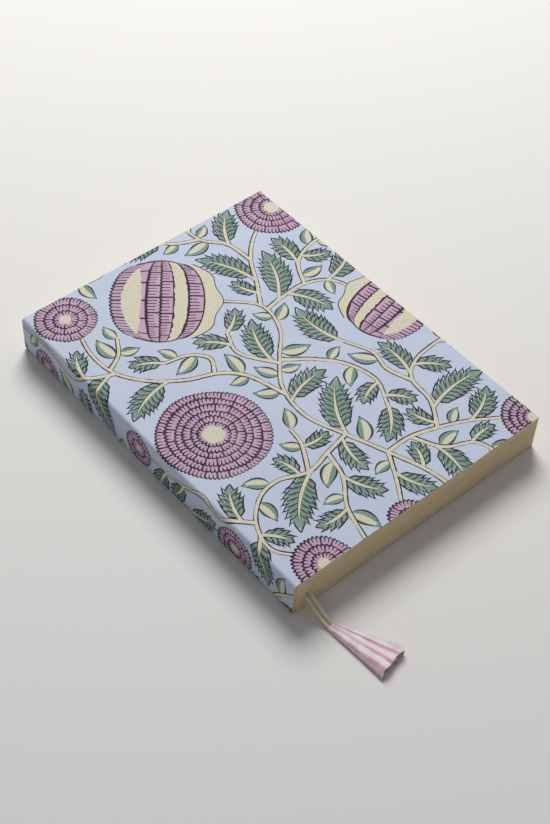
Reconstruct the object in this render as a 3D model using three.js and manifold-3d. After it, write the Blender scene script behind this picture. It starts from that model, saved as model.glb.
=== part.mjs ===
// A lined notebook with a soft card cover. Printed paper is wrapped round the card and over a flat spine, and the
// cover is trimmed flush with a sewn block of ruled leaves. A ribbon marker leaves the tail and ends in a cloth tab.
// Millimetres, +Z up. The notebook lies on its back cover: X runs from the spine to the fore edge, Y from the tail to
// the head, and the origin is the middle of the underside.
import * as THREE from 'three';
import { mergeVertices } from 'three/addons/utils/BufferGeometryUtils.js';
import Module from 'manifold-3d';

const wasm = await Module();
wasm.setup();

// Trimmed size
const bookWidth = 152;
const bookHeight = 203;

// Cover, from outside in
const printedPaper = 0.15;
const coverCard = 0.8;
const pastedownPaper = 0.15;
const spineRadius = 2;
const hingeGap = 0.1;
const endpaperMargin = 0.2;

// Book block
const flyleafPaper = 0.15;
const backSections = 5;
const frontSections = 5;
const sectionThickness = 1.653;
const looseLeaves = 6;
const leafPaper = 0.115;
const leafMargin = 0.3;
const spineLining = 0.25;

// Sewing
const sewingStations = 4;
const stationMargin = 23.5;
const threadRadius = 0.25;
const threadClearance = 0.15;
const kerfDepth = 0.9;
const kerfWidth = 1.2;
const kerfOvercut = 1;

// Ribbon marker. The inner stretch lies in the opening, and the route of the free stretch starts at its exit.
const ribbonWidth = 4.5;
const ribbonThickness = 0.25;
const ribbonHeadMargin = 6;
const ribbonHeadInset = 3.2;
const ribbonExitInset = 7.5;
const ribbonExitGap = 0.3;
const ribbonRoute = [
  [0, 0, 0],
  [0.02, -0.9, -0.15],
  [0.08, -1.9, -0.6],
  [0.15, -2.9, -1.25],
  [0.25, -3.9, -1.95],
  [0.35, -4.9, -2.7],
  [0.45, -5.9, -3.45],
  [0.55, -6.9, -4.2],
  [0.65, -7.9, -4.95],
  [0.75, -8.9, -5.65],
  [0.85, -9.9, -6.3],
  [0.95, -10.9, -6.9],
  [1.05, -11.9, -7.42],
  [1.2, -12.9, -7.86],
  [1.35, -13.9, -8.17],
];

// Cloth tab, folded to a flat cone with an open mouth. Its outline runs round from the crease on the fore-edge side,
// over the ridge of the upper fold, in shares of half its width and of its height.
const tabLength = 33;
const tabTurn = 12.5;
const tabNeckWidth = 5.4;
const tabNeckHeight = 1.7;
const tabMouthWidth = 17.6;
const tabMouthHeight = 4.2;
const tabCloth = 0.6;
const tabHollow = 22;
const tabGap = 0.3;
const tabOutline = [
  [1, 0.25],
  [0.5, 0.72],
  [-0.1, 0.94],
  [-0.58, 1],
  [-0.8, 0.52],
  [-1, 0.1],
  [-0.7, 0],
  [0, 0],
  [0.7, 0.02],
  [0.95, 0.12],
];

// Clearances between sheets that lie on each other, and between leaves that turn
const sheetGap = 0.03;
const leafGap = 0.05;
const spineSplitGap = 0.3;

// Depths under the outside of either cover
const cardDepth = printedPaper + sheetGap;
const pastedownDepth = cardDepth + coverCard + sheetGap;
const flyleafDepth = pastedownDepth + pastedownPaper + sheetGap;
const blockDepth = flyleafDepth + flyleafPaper + sheetGap;

// Distances from the outside of the spine
const liningInset = cardDepth + coverCard + sheetGap;
const blockInset = liningInset + spineLining + leafGap;
const endpaperInset = spineRadius + endpaperMargin;

// Levels, from the table up
const sectionPitch = sectionThickness + sheetGap;
const leafPitch = leafPaper + leafGap;
const openingLevel = blockDepth + backSections * sectionPitch - sheetGap;
const ribbonLevel = openingLevel + leafGap;
const leafLevel = ribbonLevel + ribbonThickness + leafGap;
const frontBlockLevel = leafLevel + looseLeaves * leafPitch;
const bookThickness = frontBlockLevel + frontSections * sectionPitch - sheetGap + blockDepth;
const spineSplit = leafLevel + (looseLeaves / 2) * leafPitch - leafGap / 2;

const spineX = -bookWidth / 2;
const foreEdgeX = bookWidth / 2;
const tailY = -bookHeight / 2;
const headY = bookHeight / 2;

const material = (color, roughness) => new THREE.MeshStandardMaterial({ color, roughness, metalness: 0 });
const finish = {
  print: material(0xbecde1, 0.75),
  card: material(0xc9b48c, 0.9),
  endpaper: material(0xf2ecdc, 0.9),
  paper: material(0xefe3c4, 0.95),
  lining: material(0xe6dcc6, 0.95),
  thread: material(0xf4efe2, 0.8),
  ribbon: material(0xd9cda6, 0.55),
  cloth: material(0xeec9cd, 0.9),
};

const group = new THREE.Group();

function add(name, geometry, material) {
  const mesh = new THREE.Mesh(geometry, material);
  mesh.name = name;
  group.add(mesh);
}

// A flat sheet or board, from its two opposite corners
function slab([x0, y0, z0], [x1, y1, z1]) {
  return new THREE.BoxGeometry(x1 - x0, y1 - y0, z1 - z0).translate((x0 + x1) / 2, (y0 + y1) / 2, (z0 + z1) / 2);
}

// A profile drawn across the book, in X and Z, that runs from tail to head
function alongBook(shape, curveSegments) {
  const geometry = new THREE.ExtrudeGeometry(shape, { depth: bookHeight, bevelEnabled: false, curveSegments });
  return geometry.rotateX(Math.PI / 2).translate(0, headY, 0);
}

function toSolid(geometry) {
  geometry.deleteAttribute('normal');
  geometry.deleteAttribute('uv');
  const merged = mergeVertices(geometry, 1e-5);
  return new wasm.Manifold(
    new wasm.Mesh({
      numProp: 3,
      vertProperties: new Float32Array(merged.attributes.position.array),
      triVerts: new Uint32Array(merged.index.array),
    }),
  );
}

function toGeometry(solid) {
  const { vertProperties, triVerts } = solid.getMesh();
  const geometry = new THREE.BufferGeometry();
  geometry.setAttribute('position', new THREE.BufferAttribute(vertProperties, 3));
  geometry.setIndex(new THREE.BufferAttribute(triVerts, 1));
  geometry.computeVertexNormals();
  return geometry;
}

// A closed skin over rings of equal length, with a flat cap on the first ring and on the last
function skinOver(rings) {
  const points = rings.flat();
  const size = rings[0].length;
  const triangles = [];
  for (let r = 0; r + 1 < rings.length; r++) {
    for (let k = 0; k < size; k++) {
      const a = r * size + k;
      const b = r * size + ((k + 1) % size);
      triangles.push(a, b, b + size, a, b + size, a + size);
    }
  }
  const last = (rings.length - 1) * size;
  for (let k = 1; k + 1 < size; k++) {
    triangles.push(0, k + 1, k, last, last + k, last + k + 1);
  }
  const geometry = new THREE.BufferGeometry();
  geometry.setAttribute('position', new THREE.Float32BufferAttribute(points.flat(), 3));
  geometry.setIndex(triangles);
  geometry.computeVertexNormals();
  return geometry;
}

// A depth is counted from the outside of the cover, so both covers come from the same sizes
const sides = {
  back: (depth) => depth,
  front: (depth) => bookThickness - depth,
};

// A fold turns from the spine to a cover. Its hinge is half way round, where spine and cover meet with a small gap.
const foldSteps = 3;

function foldArc(radius, from, to) {
  const gapTurn = hingeGap / 2 / radius;
  return Array.from({ length: foldSteps + 1 }, (_, k) => {
    const share = from + (to - from) * (k / foldSteps);
    const atHinge = share === 0.5 ? Math.sign(from + to - 1) * gapTurn : 0;
    const turn = (Math.PI / 2) * share + atHinge;
    return [spineX + spineRadius - radius * Math.cos(turn), spineRadius - radius * Math.sin(turn)];
  });
}

function wrapped(side, points) {
  return alongBook(new THREE.Shape(points.map(([x, z]) => new THREE.Vector2(x, sides[side](z)))));
}

// Covers. Print and card start at the hinge and run to the fore edge.
function coverLayer(side, depth, thickness) {
  const outer = foldArc(spineRadius - depth, 0.5, 1);
  const inner = foldArc(spineRadius - depth - thickness, 0.5, 1).reverse();
  return wrapped(side, [...outer, [foreEdgeX, depth], [foreEdgeX, depth + thickness], ...inner]);
}

function endpaper(side, depth, thickness) {
  const [low, high] = [sides[side](depth), sides[side](depth + thickness)].sort((a, b) => a - b);
  return slab([spineX + endpaperInset, tailY, low], [foreEdgeX, headY, high]);
}

for (const side of Object.keys(sides)) {
  add(`${side}_cover_print`, coverLayer(side, 0, printedPaper), finish.print);
  add(`${side}_cover_card`, coverLayer(side, cardDepth, coverCard), finish.card);
  add(`${side}_pastedown`, endpaper(side, pastedownDepth, pastedownPaper), finish.endpaper);
  add(`${side}_flyleaf`, endpaper(side, flyleafDepth, flyleafPaper), finish.endpaper);
}

// Spine. Each layer runs from the crease, level with the middle of the single leaves, to the hinge of its cover.
function spineLayer(side, depth, thickness) {
  const crease = spineSplit - spineSplitGap / 2;
  const outer = foldArc(spineRadius - depth, 0, 0.5);
  const inner = foldArc(spineRadius - depth - thickness, 0, 0.5).reverse();
  const x = spineX + depth;
  return wrapped(side, [[x, crease], ...outer, ...inner, [x + thickness, crease]]);
}

function liningStrip(side) {
  const [low, high] = [sides[side](spineRadius), sides[side](spineSplit - spineSplitGap / 2)].sort((a, b) => a - b);
  const x = spineX + liningInset;
  return slab([x, tailY, low], [x + spineLining, headY, high]);
}

for (const side of Object.keys(sides)) {
  add(`${side}_spine_print`, spineLayer(side, 0, printedPaper), finish.print);
  add(`${side}_spine_card`, spineLayer(side, cardDepth, coverCard), finish.card);
  add(`${side}_spine_lining`, liningStrip(side), finish.lining);
}

// Sewn sections. A section is a gathering of folded sheets with a round back, sawn across at every sewing station.
const stationPitch = (bookHeight - 2 * stationMargin) / (sewingStations - 1);
const stations = Array.from({ length: sewingStations }, (_, k) => tailY + stationMargin + k * stationPitch);

function section(level) {
  const radius = sectionThickness / 2;
  const middle = level + radius;
  const backX = spineX + blockInset + radius;
  const shape = new THREE.Shape();
  shape.moveTo(backX, level);
  shape.lineTo(foreEdgeX, level);
  shape.lineTo(foreEdgeX, level + sectionThickness);
  shape.lineTo(backX, level + sectionThickness);
  shape.absarc(backX, middle, radius, Math.PI / 2, Math.PI * 1.5, false);
  let solid = toSolid(alongBook(shape, 8));
  for (const y of stations) {
    const kerf = slab(
      [spineX, y - kerfWidth / 2, level - kerfOvercut],
      [spineX + blockInset + kerfDepth, y + kerfWidth / 2, level + sectionThickness + kerfOvercut],
    );
    solid = solid.subtract(toSolid(kerf));
  }
  return toGeometry(solid);
}

// One strand runs up the back of a half of the block at each station, from its first section to its last
function sewingStrand(y, low, high) {
  const strand = new THREE.CylinderGeometry(threadRadius, threadRadius, high - low, 8).rotateX(Math.PI / 2);
  const x = spineX + blockInset + kerfDepth - threadClearance - threadRadius;
  return strand.translate(x, y, (low + high) / 2);
}

const blockHalves = {
  back: { level: blockDepth, count: backSections },
  front: { level: frontBlockLevel, count: frontSections },
};

for (const [side, { level, count }] of Object.entries(blockHalves)) {
  for (let k = 0; k < count; k++) {
    add(`${side}_section_${k + 1}`, section(level + k * sectionPitch), finish.paper);
  }
  const low = level + sectionThickness / 2;
  const high = low + (count - 1) * sectionPitch;
  stations.forEach((y, k) => add(`${side}_sewing_${k + 1}`, sewingStrand(y, low, high), finish.thread));
}

// Single leaves at the opening
for (let k = 0; k < looseLeaves; k++) {
  const level = leafLevel + k * leafPitch;
  const leaf = slab(
    [spineX + blockInset + leafMargin, tailY, level],
    [foreEdgeX, headY, level + leafPaper],
  );
  add(`leaf_${k + 1}`, leaf, finish.paper);
}

// Ribbon marker, pressed flat between the leaves from the head end of the spine to the tail
const ribbonExit = [spineX + ribbonExitInset, tailY, ribbonLevel + ribbonThickness / 2];

function innerRibbon() {
  const half = ribbonWidth / 2;
  const headX = spineX + blockInset + ribbonHeadInset;
  const headEnd = headY - ribbonHeadMargin;
  const shape = new THREE.Shape([
    new THREE.Vector2(ribbonExit[0] - half, tailY),
    new THREE.Vector2(ribbonExit[0] + half, tailY),
    new THREE.Vector2(headX + half, headEnd),
    new THREE.Vector2(headX - half, headEnd),
  ]);
  return new THREE.ExtrudeGeometry(shape, { depth: ribbonThickness, bevelEnabled: false }).translate(0, 0, ribbonLevel);
}

add('ribbon_inner', innerRibbon(), finish.ribbon);

// The free stretch is a flat band along its route, level from edge to edge
function bandAlong(route) {
  const curve = new THREE.CatmullRomCurve3(route);
  const half = ribbonWidth / 2;
  const up = ribbonThickness / 2;
  const corner = up / 2;
  const section = [
    [-half, -corner],
    [-half + corner, -up],
    [half - corner, -up],
    [half, -corner],
    [half, corner],
    [half - corner, up],
    [-half + corner, up],
    [-half, corner],
  ];
  const rings = curve.getPoints(route.length - 1).map((point, k) => {
    const along = curve.getTangent(k / (route.length - 1));
    const across = new THREE.Vector3(0, 0, 1).cross(along).normalize();
    const out = along.clone().cross(across);
    return section.map(([u, v]) => point.clone().addScaledVector(across, -u).addScaledVector(out, v).toArray());
  });
  return skinOver(rings.reverse());
}

const freeRoute = ribbonRoute.map(([x, y, z]) => {
  return new THREE.Vector3(x, y - ribbonExitGap, z).add(new THREE.Vector3(...ribbonExit));
});
add('ribbon_tail', bandAlong(freeRoute), finish.ribbon);

// Cloth tab. It lies on the table and grows wider and higher towards its mouth.
function clothTab() {
  const end = freeRoute.at(-1);
  const angle = THREE.MathUtils.degToRad(tabTurn);
  const along = new THREE.Vector3(Math.sin(angle), -Math.cos(angle), 0);
  const across = new THREE.Vector3(Math.cos(angle), Math.sin(angle), 0);
  const gap = tabGap + (Math.sin(angle) * tabNeckWidth) / 2;
  const start = new THREE.Vector3(end.x, end.y - gap, 0);
  const ring = (distance, wall) => {
    const share = distance / tabLength;
    const halfWidth = THREE.MathUtils.lerp(tabNeckWidth, tabMouthWidth, share) / 2 - wall;
    const height = THREE.MathUtils.lerp(tabNeckHeight, tabMouthHeight, share) - 2 * wall;
    return tabOutline.map(([u, v]) => {
      const point = start.clone().addScaledVector(along, distance).addScaledVector(across, halfWidth * u);
      return point.setZ(wall + height * v).toArray();
    });
  };
  const steps = 4;
  const rings = [];
  for (let k = 0; k <= steps; k++) rings.push(ring((tabLength * k) / steps, 0));
  rings.push(ring(tabLength, tabCloth));
  rings.push(ring(tabLength - tabHollow, tabCloth));
  return skinOver(rings);
}

add('cloth_tab', clothTab(), finish.cloth);

export default group;
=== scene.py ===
# %% [markdown]
# A lined notebook, dressed in Blender.
#
# The notebook lies on its back cover. Printed handmade paper is wrapped round thin card and over a flat
# spine, and the cover is trimmed flush with a sewn block of ruled leaves. A narrow ribbon marker leaves the
# tail and ends in a small folded tab of striped cotton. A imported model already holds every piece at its
# real size, with its joints. This script loads it as a fixed frame, and gives each piece its real surface.
# Units are metres throughout.

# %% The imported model
import math

import bmesh
import bpy
import numpy as np
from mathutils import Matrix, Vector, geometry


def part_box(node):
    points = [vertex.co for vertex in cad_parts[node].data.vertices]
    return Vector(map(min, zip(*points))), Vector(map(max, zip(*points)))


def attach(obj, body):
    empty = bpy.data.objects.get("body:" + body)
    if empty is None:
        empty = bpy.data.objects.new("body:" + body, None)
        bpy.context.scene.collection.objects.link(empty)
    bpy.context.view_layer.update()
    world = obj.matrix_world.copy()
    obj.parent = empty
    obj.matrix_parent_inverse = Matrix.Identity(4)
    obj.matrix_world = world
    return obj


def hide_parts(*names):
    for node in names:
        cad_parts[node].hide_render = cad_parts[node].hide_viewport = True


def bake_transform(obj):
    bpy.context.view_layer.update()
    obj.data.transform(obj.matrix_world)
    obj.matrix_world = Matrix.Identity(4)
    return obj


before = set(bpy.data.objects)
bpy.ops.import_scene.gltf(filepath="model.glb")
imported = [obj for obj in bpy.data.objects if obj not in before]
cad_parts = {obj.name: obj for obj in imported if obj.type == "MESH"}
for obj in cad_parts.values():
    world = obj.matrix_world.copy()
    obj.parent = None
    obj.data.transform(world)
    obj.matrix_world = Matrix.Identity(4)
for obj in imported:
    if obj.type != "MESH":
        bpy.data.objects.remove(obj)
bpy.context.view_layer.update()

# %% [markdown]
# Sizes. The frame gives the trimmed block. A few thicknesses are repeated here by name, because a sheet of
# paper is known by its thickness and not by its corners. MM turns a size in millimetres into metres.

# %% Sizes of the book
MM = 0.001
cover_low, cover_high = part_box("front_cover_print")
FORE_EDGE_X = cover_high.x
HEAD_Y, TAIL_Y = cover_high.y, cover_low.y
BOOK_TOP = cover_high.z
SPINE_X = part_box("front_spine_print")[0].x
MIDDLE_Z = BOOK_TOP / 2
OPENING_Z = (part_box("leaf_3")[1].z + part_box("leaf_4")[0].z) / 2
FOLD_RADIUS = 2 * MM
PRINTED_PAPER = 0.15 * MM
LEAF_PAPER = 0.115 * MM
print(f"book {FORE_EDGE_X - SPINE_X:.4f} x {HEAD_Y - TAIL_Y:.4f} x {BOOK_TOP:.5f} m")

# %% [markdown]
# Camera. The photograph's seven visible corners of the block give one place and one direction for the
# camera, and a lens of 67.2 mm on a 36 mm frame. The three axes below are the picture's right, its up and
# the way back to the lens.

# %% Camera
scene = bpy.context.scene
scene.view_settings.view_transform = "Standard"

CAMERA_AT = Vector((-0.33647, -0.36469, 0.56395))
PICTURE_RIGHT = Vector((0.75992, -0.64908, 0.03480))
PICTURE_UP = Vector((0.47504, 0.59111, 0.65187))
LENS_MM = 67.2

camera = bpy.data.objects.new("camera", bpy.data.cameras.new("camera"))
camera.data.lens = LENS_MM
camera.data.clip_start = 0.01
back_to_lens = PICTURE_RIGHT.cross(PICTURE_UP).normalized()
picture_up = back_to_lens.cross(PICTURE_RIGHT).normalized()
axes = Matrix((PICTURE_RIGHT.normalized(), picture_up, back_to_lens)).transposed()
camera.matrix_world = Matrix.Translation(CAMERA_AT) @ axes.to_4x4()
scene.collection.objects.link(camera)
scene.camera = camera

# %% [markdown]
# Helpers for materials. A node tree reads better when each node is one line, so `Paint` starts a material,
# adds its nodes and returns their outputs. A value that is given as a plain number is set on the node's own
# socket.


# %% Material helpers
class Paint:
    """One material's node tree, built a line at a time."""

    def __init__(self, name, roughness):
        self.material = bpy.data.materials.new(name)
        self.material.use_nodes = True
        self.tree = self.material.node_tree
        self.shader = self.tree.nodes["Principled BSDF"]
        self.shader.inputs["Roughness"].default_value = roughness

    def feed(self, socket, value):
        """Links an output to a socket, or sets the socket's own value."""
        if isinstance(value, bpy.types.NodeSocket):
            self.tree.links.new(value, socket)
        else:
            socket.default_value = value

    def node(self, kind, values, **settings):
        made = self.tree.nodes.new(kind)
        for key, value in settings.items():
            setattr(made, key, value)
        for key, value in values.items():
            self.feed(made.inputs[key], value)
        return made

    def sheet_place(self):
        """The place on the flat sheet, in metres, from the piece's own UV map."""
        return self.node("ShaderNodeTexCoord", {}).outputs["UV"]

    def place(self):
        """The place in the notebook, in metres."""
        return self.node("ShaderNodeTexCoord", {}).outputs["Object"]

    def part(self, place, axis):
        """One coordinate of a place."""
        return self.node("ShaderNodeSeparateXYZ", {0: place}).outputs[axis]

    def stretched(self, place, scale, turn=(0, 0, 0)):
        values = {"Vector": place, "Scale": scale, "Rotation": turn}
        return self.node("ShaderNodeMapping", values).outputs[0]

    def noise(self, place, scale, detail=2.0, roughness=0.5):
        values = {"Vector": place, "Scale": scale, "Detail": detail, "Roughness": roughness}
        return self.node("ShaderNodeTexNoise", values).outputs["Fac"]

    def threads(self, place, scale, direction):
        """Even bands across one direction, as threads make them."""
        values = {"Vector": place, "Scale": scale}
        return self.node("ShaderNodeTexWave", values, bands_direction=direction).outputs["Fac"]

    def between(self, value, low, high):
        """0 below low, 1 above high, and smooth in between."""
        values = {"Value": value, "From Min": low, "From Max": high}
        return self.node("ShaderNodeMapRange", values, interpolation_type="SMOOTHSTEP").outputs["Result"]

    def maths(self, operation, a, b=0.0):
        return self.node("ShaderNodeMath", {0: a, 1: b}, operation=operation).outputs[0]

    def plus(self, a, b):
        return self.maths("ADD", a, b)

    def times(self, a, b):
        return self.maths("MULTIPLY", a, b)

    def mix(self, share, a, b):
        """Colour a where the share is 0, and colour b where it is 1."""
        return self.node("ShaderNodeMix", {0: share, 6: a, 7: b}, data_type="RGBA").outputs[2]

    def colour(self, source):
        self.feed(self.shader.inputs["Base Color"], source)

    def relief(self, height, depth, strength=1.0):
        """Bumps of that depth in metres."""
        bump = self.node("ShaderNodeBump", {"Height": height, "Distance": depth, "Strength": strength})
        self.feed(self.shader.inputs["Normal"], bump.outputs[0])


def rgb(red, green, blue):
    """A colour as a screen shows it, 0 to 255, turned into Blender's linear values."""
    linear = [((c / 255 + 0.055) / 1.055) ** 2.4 if c > 10 else c / 255 / 12.92 for c in (red, green, blue)]
    return (*linear, 1.0)


# %% [markdown]
# Helpers for shapes. A sheet becomes a solid in one of two ways here: it is extruded, or a Solidify
# modifier gives it a thickness and is then made part of the mesh. Most curved lines run smoothly through a
# few given points.

# %% Shape helpers
LINE_STEPS = 8


def linked(name, data):
    made = bpy.data.objects.new(name, data)
    scene.collection.objects.link(made)
    return made


def add_mesh(name, bm, *materials):
    mesh = bpy.data.meshes.new(name)
    bm.to_mesh(mesh)
    bm.free()
    for material in materials:
        mesh.materials.append(material)
    return linked(name, mesh)


def smooth_shaded(piece, crease=40):
    """Shades a piece smooth, apart from its sharp edges."""
    piece.data.shade_smooth()
    piece.data.set_sharp_from_angle(angle=math.radians(crease))
    return piece


def map_faces(faces, uv, place_of):
    """Writes the UV map: every corner gets the place of its vertex."""
    for face in faces:
        for loop in face.loops:
            loop[uv].uv = place_of(loop.vert)


def give_thickness(piece, thickness):
    """A Solidify modifier that grows a sheet evenly to both sides."""
    solidify = piece.modifiers.new("thickness", "SOLIDIFY")
    solidify.thickness = thickness
    solidify.offset = 0
    return piece


def with_modifiers(piece):
    """Makes a piece's modifiers part of its mesh."""
    bpy.context.view_layer.update()
    seen = piece.evaluated_get(bpy.context.evaluated_depsgraph_get())
    mesh = bpy.data.meshes.new_from_object(seen)
    piece.modifiers.clear()
    piece.data = mesh
    return piece


def smooth_line(points, steps=LINE_STEPS):
    """A smooth line through a few points."""
    p = np.asarray(points, float)
    p = np.vstack([2 * p[0] - p[1], p, 2 * p[-1] - p[-2]])
    line = []
    for a, b, c, d in zip(p, p[1:], p[2:], p[3:]):
        for t in np.linspace(0, 1, steps, endpoint=False):
            place = 2 * b + (c - a) * t
            place = place + (2 * a - 5 * b + 4 * c - d) * t**2
            place = place + (3 * b - a - 3 * c + d) * t**3
            line.append(0.5 * place)
    return np.array([*line, p[-2]])


def run_along(line):
    """How far along a line each of its points lies."""
    return np.concatenate([[0], np.cumsum(np.linalg.norm(np.diff(line, axis=0), axis=1))])


def smooth_step(value, low, high):
    t = min(1.0, max(0.0, (value - low) / (high - low)))
    return t * t * (3 - 2 * t)


# %% [markdown]
# Stage. The floor is plain and pale. Soft daylight comes from high behind the fore edge, as in the
# photograph, so the top of the cover is bright, and the spine and the tail edge lie in a soft shade. The
# world fills the shadows.

# %% Floor and light
FLOOR_REACH = 12.0
floor_paint = Paint("floor", 0.9)
floor_paint.colour(rgb(226, 224, 221))
bm = bmesh.new()
bmesh.ops.create_grid(bm, x_segments=1, y_segments=1, size=FLOOR_REACH)
floor = add_mesh("floor", bm, floor_paint.material)

world = bpy.data.worlds.new("world")
world.use_nodes = True
world.node_tree.nodes["Background"].inputs["Color"].default_value = rgb(236, 240, 250)
world.node_tree.nodes["Background"].inputs["Strength"].default_value = 0.24
scene.world = world


def soft_lamp(name, at, size, power, colour):
    lamp = bpy.data.lights.new(name, "AREA")
    lamp.shape = "DISK"
    lamp.size = size
    lamp.energy = power
    lamp.color = colour
    made = linked(name, lamp)
    made.location = at
    made.rotation_mode = "QUATERNION"
    made.rotation_quaternion = (-Vector(at)).to_track_quat("-Z", "Y")


soft_lamp("window", (0.55, 0.75, 1.05), 0.8, 19.5, (1.0, 0.99, 0.97))
soft_lamp("room", (-0.9, -0.5, 0.9), 1.2, 0.8, (1.0, 0.9, 0.78))

# %% [markdown]
# Ribbon marker. It is a flat woven ribbon, 4.5 mm wide, limp enough to hang from the tail edge down to the
# table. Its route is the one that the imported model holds, point for point, and then the last 15.5 mm that
# are caught in the folded tab. The stretch in the open is one swept band, which is drawn in along a
# lengthwise crease towards the tab.

# %% Route of the ribbon
RIBBON_WIDTH = 4.5 * MM
RIBBON_THICKNESS = 0.25 * MM
RIBBON_EXIT = Vector((-68.5, -101.5, 9.93)) * MM
RIBBON_ROUTE = [
    (0, -0.3, 0), (0.02, -1.2, -0.15), (0.08, -2.2, -0.6), (0.15, -3.2, -1.25), (0.25, -4.2, -1.95),
    (0.35, -5.2, -2.7), (0.45, -6.2, -3.45), (0.55, -7.2, -4.2), (0.65, -8.2, -4.95), (0.75, -9.2, -5.65),
    (0.85, -10.2, -6.3), (0.95, -11.2, -6.9), (1.05, -12.2, -7.42), (1.2, -13.2, -7.86),
    (1.35, -14.2, -8.17),
]
TAB_TURN = math.radians(12.5)
tab_along = Vector((math.sin(TAB_TURN), -math.cos(TAB_TURN), 0))
tab_across = Vector((math.cos(TAB_TURN), math.sin(TAB_TURN), 0))

route = [RIBBON_EXIT + Vector(p) * MM for p in RIBBON_ROUTE]
neck = route[-1]
CAUGHT_LENGTH = 15.5 * MM
CAUGHT_STEPS = 12
CAUGHT_DROP, DROPPED_BY = 0.95 * MM, 1.4 * MM
CAUGHT_RISE = 0.5 * MM
for k in range(1, CAUGHT_STEPS + 1):
    gone = CAUGHT_LENGTH * k / CAUGHT_STEPS
    sunk = CAUGHT_DROP * min(1, gone / DROPPED_BY) - CAUGHT_RISE * k / CAUGHT_STEPS
    route.append(neck + tab_along * gone - Vector((0, 0, sunk)))
free_route = route[1:]

# %% [markdown]
# The band is a grid that is one ribbon wide and one route long. Each row of its vertices is set across the
# route. On the free stretch the rows grow narrower, and the middle of each is let down, which makes the
# crease. In the tab's neck the band is pressed flat again. Solidify gives the weave its thickness.


# %% Ribbon and its weave
def ribbon_paint():
    paint = Paint("woven ribbon", 0.55)
    place = paint.sheet_place()
    weave = paint.times(paint.threads(place, 520.0, "Y"), paint.threads(place, 900.0, "X"))
    # The darker colour along the middle of the ribbon is painted shade in its lengthwise crease.
    from_crease = paint.maths("ABSOLUTE", paint.part(place, "X"))
    wander = paint.times(paint.noise(place, 300.0, 2.0), 0.5 * MM)
    flat = paint.between(paint.plus(from_crease, wander), 0.25 * MM, 1.5 * MM)
    soiling = paint.between(paint.noise(place, 260.0, 3.0), 0.35, 0.75)
    silk = paint.mix(soiling, rgb(226, 217, 190), rgb(206, 194, 160))
    paint.colour(paint.mix(flat, rgb(180, 161, 126), silk))
    paint.relief(weave, 0.05 * MM, 0.6)
    paint.shader.inputs["Sheen Weight"].default_value = 0.25
    return paint.material


ribbon_finish = ribbon_paint()
RIBBON_COLUMNS = 8
RIBBON_STEP = 0.6 * MM
CREASE_DEPTH = 0.85 * MM
DRAWN_BY, DRAWN_IN = 8 * MM, 0.11
PRESSED_FROM, PRESSED_BY, PRESSED_FLAT = 15 * MM, 17.5 * MM, 0.8


def band(name, path, crease):
    """A ribbon along a path. Its UV map gives the place along and across it in metres."""
    bm = bmesh.new()
    rows = len(path) - 1
    bmesh.ops.create_grid(bm, x_segments=RIBBON_COLUMNS, y_segments=rows, size=0.5)
    uv = bm.loops.layers.uv.new("place")
    run = [0.0]
    for a, b in zip(path, path[1:]):
        run.append(run[-1] + (b - a).length)
    grid_place = {}
    for vertex in bm.verts:
        share = vertex.co.x + 0.5
        row = round((vertex.co.y + 0.5) * rows)
        ahead, behind = path[min(row + 1, rows)], path[max(row - 1, 0)]
        along = (ahead - behind).normalized()
        side = Vector((0, 0, 1)).cross(along).normalized()
        out = along.cross(side)
        grid_place[vertex] = ((share - 0.5) * RIBBON_WIDTH, run[row])
        drawn = smooth_step(run[row], 0, DRAWN_BY) if crease else 0.0
        pressed = smooth_step(run[row], PRESSED_FROM, PRESSED_BY)
        dip = crease * drawn * (1 - PRESSED_FLAT * pressed) * (1 - abs(2 * share - 1)) ** 1.5
        vertex.co = path[row] - side * (share - 0.5) * RIBBON_WIDTH * (1 - DRAWN_IN * drawn) - out * dip
    map_faces(bm.faces, uv, grid_place.get)
    made = add_mesh(name, bm, ribbon_finish)
    return with_modifiers(smooth_shaded(give_thickness(made, RIBBON_THICKNESS * 0.8), 60))


def resampled(path, step):
    line = smooth_line([tuple(p) for p in path], 6)
    run = run_along(line)
    at = np.linspace(0, run[-1], max(2, round(run[-1] / step)) + 1)
    return [Vector(p) for p in np.stack([np.interp(at, run, line[:, k]) for k in range(3)], axis=1)]


ribbon = band("ribbon", resampled(free_route, RIBBON_STEP), CREASE_DEPTH)

# %% [markdown]
# Cloth tab. A strip of thin cotton is folded round the ribbon's end, pressed flat at the neck and left open
# at the mouth, where the inner layers show. In section it is one line: it starts inside, turns down at the
# fore-edge side, runs back over the table, comes up the other side and over the ridge, meets the upper
# crease and is tucked in. Each row of the list below is one point of that line, for the neck and for the
# mouth, in shares of the tab's half width and of its height. A grid is laid on the surface between the two.
# The stripes follow the grid, so they draw together at the neck as gathered cloth does.

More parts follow.
